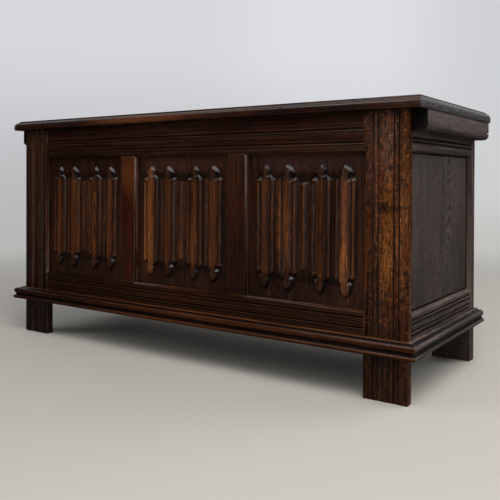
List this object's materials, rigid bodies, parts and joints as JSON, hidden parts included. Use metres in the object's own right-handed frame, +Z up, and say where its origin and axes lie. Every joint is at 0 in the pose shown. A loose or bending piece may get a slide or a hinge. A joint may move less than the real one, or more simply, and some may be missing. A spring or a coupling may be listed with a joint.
{
  "type": "coffer chest",
  "caption": "Framed and panelled oak chest with linenfold front panels, plank feet, a mitred base moulding and a moulded lid that lifts on pin hinges.",
  "frame": {"origin": "on the floor, under the middle of the chest's plan with the lid closed", "axes": "+X along the chest towards its right end as seen from the front, +Y towards the back, +Z up"},
  "size_m": [1.322, 0.498, 0.6483],
  "materials": {
    "oak_post": "waxed",
    "oak_front": "waxed",
    "oak_panel": "waxed",
    "oak_side": "satin",
    "oak_back": "matt",
    "oak_moulding": "waxed",
    "oak_inside": "bare",
    "oak_lid": "waxed",
    "oak_cleat": "waxed",
    "iron": "dull"
  },
  "bodies": {
    "carcass": {"front_right_post": "oak_post", "front_left_post": "oak_post", "back_right_post": "oak_side", "back_left_post": "oak_side", "front_top_rail": "oak_front", "front_bottom_rail": "oak_front", "front_right_muntin": "oak_front", "front_left_muntin": "oak_front", "linenfold_panel_left": "oak_panel", "linenfold_panel_centre": "oak_panel", "linenfold_panel_right": "oak_panel", "right_top_rail": "oak_side", "left_top_rail": "oak_side", "right_bottom_rail": "oak_side", "left_bottom_rail": "oak_side", "right_side_panel": "oak_side", "left_side_panel": "oak_side", "back_top_rail": "oak_back", "back_bottom_rail": "oak_back", "back_right_muntin": "oak_back", "back_left_muntin": "oak_back", "back_panel_left": "oak_back", "back_panel_centre": "oak_back", "back_panel_right": "oak_back", "front_base_moulding": "oak_moulding", "right_base_moulding": "oak_moulding", "left_base_moulding": "oak_moulding", "front_ledger": "oak_inside", "back_ledger": "oak_inside", "floor_board_1": "oak_inside", "floor_board_2": "oak_inside", "floor_board_3": "oak_inside", "floor_board_4": "oak_inside", "floor_board_5": "oak_inside", "floor_board_6": "oak_inside", "floor_nails": "iron", "right_hinge_pin": "iron", "left_hinge_pin": "iron"},
    "lid": {"lid_front_board": "oak_lid", "lid_middle_board": "oak_lid", "lid_back_board": "oak_lid", "right_cleat": "oak_cleat", "left_cleat": "oak_cleat", "cleat_nails": "iron"}
  },
  "joints": [
    {"name": "lid_hinge", "type": "hinge", "parent": "carcass", "child": "lid", "pos_m": [0, 0.224, 0.596], "axis": [-1, 0, 0], "range_deg": [0, 98]}
  ]
}
